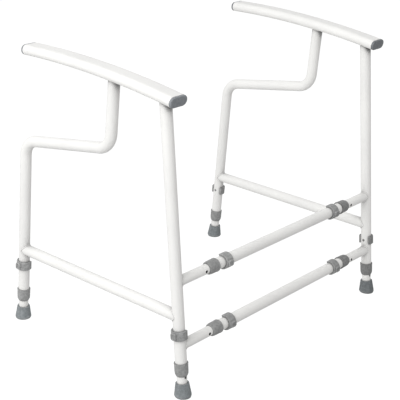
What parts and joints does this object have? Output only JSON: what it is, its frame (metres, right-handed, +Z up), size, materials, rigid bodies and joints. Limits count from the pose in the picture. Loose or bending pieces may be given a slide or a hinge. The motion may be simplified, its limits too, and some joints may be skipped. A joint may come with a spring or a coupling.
{
  "type": "toilet safety frame",
  "caption": "Free-standing toilet safety frame: tubular side frames with curved armrests, joined by telescopic crossbars, on height-adjustable legs with rubber feet.",
  "frame": {"origin": "on the floor, midway between the four feet", "axes": "+X across the frame from the left to the right side frame, +Y from the crossbars at the front to the open rear, +Z up"},
  "size_m": [0.748, 0.5475, 0.6717],
  "materials": {
    "white_paint": "white epoxy powder coat, satin, over steel tube",
    "grey_plastic": "moulded mid-grey plastic, satin",
    "cap_plastic": "moulded slate-grey plastic, satin",
    "foot_rubber": "moulded grey rubber, matt",
    "washer_steel": "plain zinc-plated steel"
  },
  "bodies": {
    "crossbars": {"upper_crossbar": "white_paint", "lower_crossbar": "white_paint", "left_upper_bar_collar": "grey_plastic", "left_lower_bar_collar": "grey_plastic", "right_upper_bar_collar": "grey_plastic", "right_lower_bar_collar": "grey_plastic"},
    "left_side_frame": {"left_armrest": "white_paint", "left_front_leg": "white_paint", "left_rear_leg": "white_paint", "left_side_rail": "white_paint", "left_upper_stub": "white_paint", "left_lower_stub": "white_paint", "left_front_arm_cap": "cap_plastic", "left_rear_arm_cap": "cap_plastic", "left_front_leg_collar": "grey_plastic", "left_rear_leg_collar": "grey_plastic"},
    "right_side_frame": {"right_armrest": "white_paint", "right_front_leg": "white_paint", "right_rear_leg": "white_paint", "right_side_rail": "white_paint", "right_upper_stub": "white_paint", "right_lower_stub": "white_paint", "right_front_arm_cap": "cap_plastic", "right_rear_arm_cap": "cap_plastic", "right_front_leg_collar": "grey_plastic", "right_rear_leg_collar": "grey_plastic"},
    "left_front_leg_extension": {"left_front_leg_slide": "white_paint", "left_front_foot": "foot_rubber", "left_front_foot_washer": "washer_steel"},
    "left_rear_leg_extension": {"left_rear_leg_slide": "white_paint", "left_rear_foot": "foot_rubber", "left_rear_foot_washer": "washer_steel"},
    "right_front_leg_extension": {"right_front_leg_slide": "white_paint", "right_front_foot": "foot_rubber", "right_front_foot_washer": "washer_steel"},
    "right_rear_leg_extension": {"right_rear_leg_slide": "white_paint", "right_rear_foot": "foot_rubber", "right_rear_foot_washer": "washer_steel"},
    "left_front_leg_clip": {"left_front_leg_clip": "grey_plastic"},
    "left_rear_leg_clip": {"left_rear_leg_clip": "grey_plastic"},
    "right_front_leg_clip": {"right_front_leg_clip": "grey_plastic"},
    "right_rear_leg_clip": {"right_rear_leg_clip": "grey_plastic"},
    "left_upper_bar_clip": {"left_upper_bar_clip": "grey_plastic"},
    "left_lower_bar_clip": {"left_lower_bar_clip": "grey_plastic"},
    "right_upper_bar_clip": {"right_upper_bar_clip": "grey_plastic"},
    "right_lower_bar_clip": {"right_lower_bar_clip": "grey_plastic"}
  },
  "joints": [
    {"name": "left_width_slide", "type": "slide", "parent": "crossbars", "child": "left_side_frame", "axis": [-1, 0, 0], "range_m": [-0.0705, 0.0705]},
    {"name": "right_width_slide", "type": "slide", "parent": "crossbars", "child": "right_side_frame", "axis": [1, 0, 0], "range_m": [-0.0705, 0.0705]},
    {"name": "left_front_height_slide", "type": "slide", "parent": "left_side_frame", "child": "left_front_leg_extension", "axis": [0, -0.1063, -0.9943], "range_m": [0, 0.15]},
    {"name": "left_rear_height_slide", "type": "slide", "parent": "left_side_frame", "child": "left_rear_leg_extension", "axis": [0, 0.0614, -0.9981], "range_m": [0, 0.15]},
    {"name": "right_front_height_slide", "type": "slide", "parent": "right_side_frame", "child": "right_front_leg_extension", "axis": [0, -0.1063, -0.9943], "range_m": [0, 0.15]},
    {"name": "right_rear_height_slide", "type": "slide", "parent": "right_side_frame", "child": "right_rear_leg_extension", "axis": [0, 0.0614, -0.9981], "range_m": [0, 0.15]},
    {"name": "left_front_leg_clip_pull", "type": "slide", "parent": "left_side_frame", "child": "left_front_leg_clip", "axis": [-1, 0, 0], "range_m": [0, 0.045]},
    {"name": "left_rear_leg_clip_pull", "type": "slide", "parent": "left_side_frame", "child": "left_rear_leg_clip", "axis": [-1, 0, 0], "range_m": [0, 0.045]},
    {"name": "right_front_leg_clip_pull", "type": "slide", "parent": "right_side_frame", "child": "right_front_leg_clip", "axis": [1, 0, 0], "range_m": [0, 0.045]},
    {"name": "right_rear_leg_clip_pull", "type": "slide", "parent": "right_side_frame", "child": "right_rear_leg_clip", "axis": [1, 0, 0], "range_m": [0, 0.045]},
    {"name": "left_upper_bar_clip_pull", "type": "slide", "parent": "crossbars", "child": "left_upper_bar_clip", "axis": [0, -1, 0], "range_m": [0, 0.045]},
    {"name": "left_lower_bar_clip_pull", "type": "slide", "parent": "crossbars", "child": "left_lower_bar_clip", "axis": [0, -1, 0], "range_m": [0, 0.045]},
    {"name": "right_upper_bar_clip_pull", "type": "slide", "parent": "crossbars", "child": "right_upper_bar_clip", "axis": [0, -1, 0], "range_m": [0, 0.045]},
    {"name": "right_lower_bar_clip_pull", "type": "slide", "parent": "crossbars", "child": "right_lower_bar_clip", "axis": [0, -1, 0], "range_m": [0, 0.045]}
  ]
}
